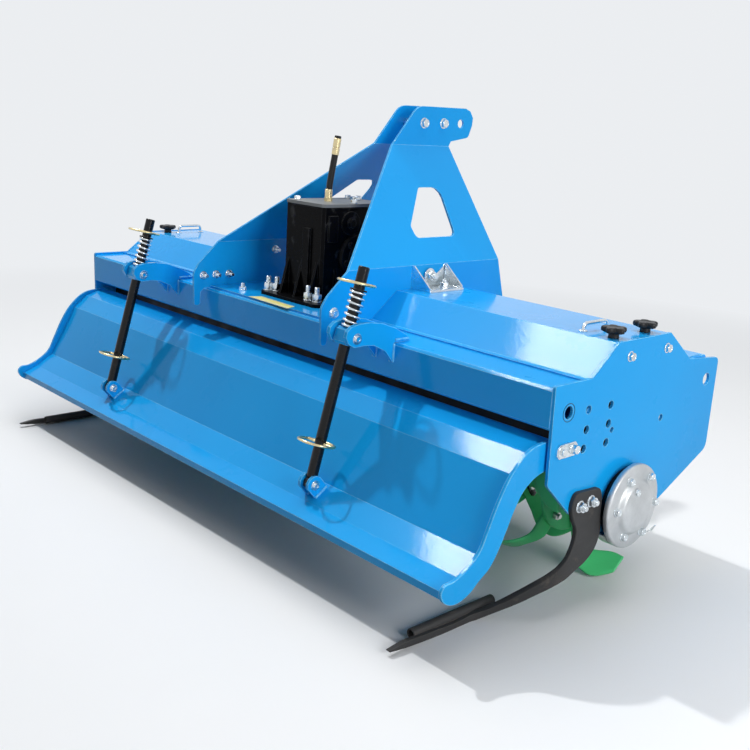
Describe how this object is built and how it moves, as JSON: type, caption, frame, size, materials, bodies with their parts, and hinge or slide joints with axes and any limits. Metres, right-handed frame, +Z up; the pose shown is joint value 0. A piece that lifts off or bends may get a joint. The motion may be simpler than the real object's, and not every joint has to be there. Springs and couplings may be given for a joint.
{
  "type": "rotary tiller",
  "caption": "Tractor-mounted rotary tiller with bladed rotor, trapezoid hood, A-frame mast, gearbox, skids and hinged tailgate on spring-loaded adjuster rods.",
  "frame": {"origin": "middle of the plan box, on the ground", "axes": "+X along the rotor to the right-hand end, +Y forward to the tractor, +Z up"},
  "size_m": [2.168, 1.098, 1.134],
  "materials": {
    "blue_paint": "gloss blue enamel",
    "black_case": "gloss black casting paint",
    "black_steel": "satin black",
    "dark_bar": "dark grey bar, dull",
    "green_blade": "green enamel",
    "zinc": "bright zinc plate",
    "yellow_zinc": "yellow passivated zinc",
    "bare_steel": "machined steel",
    "hose_rubber": "black hose",
    "knob_plastic": "black plastic"
  },
  "bodies": {
    "frame": {"end_plate_right": "blue_paint", "end_plate_left": "blue_paint", "rear_beam": "blue_paint", "front_beam": "blue_paint", "hood_right": "blue_paint", "hood_left": "blue_paint", "centre_deck": "blue_paint", "rotor_cover": "blue_paint", "mast_plate_right": "blue_paint", "mast_plate_left": "blue_paint", "lower_hitch_right": "blue_paint", "lower_hitch_left": "blue_paint", "centre_drive_case": "blue_paint", "wing_bracket_right": "blue_paint", "wing_bracket_left": "blue_paint", "mast_spacers": "zinc", "mast_bracket_right": "zinc", "mast_bracket_left": "zinc", "hub_right": "zinc", "hub_left": "zinc", "hinge_link_right": "zinc", "hinge_link_left": "zinc", "lift_handles": "zinc", "gearbox_case": "black_case", "gearbox_lid": "black_case", "skid_right": "dark_bar", "skid_left": "dark_bar", "soil_guard_right": "bare_steel", "soil_guard_left": "bare_steel", "breather_pipe": "hose_rubber", "hood_knobs": "knob_plastic"},
    "rotor": {"rotor": "green_blade"},
    "input_shaft": {"input_shaft": "bare_steel"},
    "tailgate": {"tailgate_sheet": "blue_paint", "tailgate_bands": "blue_paint", "rod_brackets": "blue_paint"},
    "swivel_right": {"swivel_block_right": "blue_paint", "spring_right": "zinc"},
    "rod_right": {"adjuster_rod_right": "black_steel", "ring_clips_right": "yellow_zinc"},
    "swivel_left": {"swivel_block_left": "blue_paint", "spring_left": "zinc"},
    "rod_left": {"adjuster_rod_left": "black_steel", "ring_clips_left": "yellow_zinc"}
  },
  "joints": [
    {"name": "rotor_spin", "type": "hinge", "parent": "frame", "child": "rotor", "pos_m": [0, 0.086, 0.235], "axis": [1, 0, 0], "continuous": true},
    {"name": "input_spin", "type": "hinge", "parent": "frame", "child": "input_shaft", "pos_m": [0, 0.186, 0.69], "axis": [0, 1, 0], "continuous": true},
    {"name": "tailgate_lift", "type": "hinge", "parent": "frame", "child": "tailgate", "pos_m": [0, -0.18, 0.413], "axis": [-1, 0, 0], "range_deg": [0, 30]},
    {"name": "swivel_right_turn", "type": "hinge", "parent": "frame", "child": "swivel_right", "pos_m": [0.497, -0.34, 0.578], "axis": [-1, 0, 0], "range_deg": [0, 22]},
    {"name": "rod_right_slide", "type": "slide", "parent": "swivel_right", "child": "rod_right", "axis": [0, 0.258, 0.9661], "range_m": [0, 0.11106]},
    {"name": "swivel_left_turn", "type": "hinge", "parent": "frame", "child": "swivel_left", "pos_m": [-0.497, -0.34, 0.578], "axis": [-1, 0, 0], "range_deg": [0, 22]},
    {"name": "rod_left_slide", "type": "slide", "parent": "swivel_left", "child": "rod_left", "axis": [0, 0.258, 0.9661], "range_m": [0, 0.11106]}
  ],
  "couplings": [
    {"joint": "input_spin", "follows": "rotor_spin", "ratio": 2.4},
    {"joint": "swivel_right_turn", "follows": "tailgate_lift", "ratio": 0.7333},
    {"joint": "rod_right_slide", "follows": "tailgate_lift", "m_per_rad": 0.2121},
    {"joint": "swivel_left_turn", "follows": "tailgate_lift", "ratio": 0.7333},
    {"joint": "rod_left_slide", "follows": "tailgate_lift", "m_per_rad": 0.2121}
  ]
}
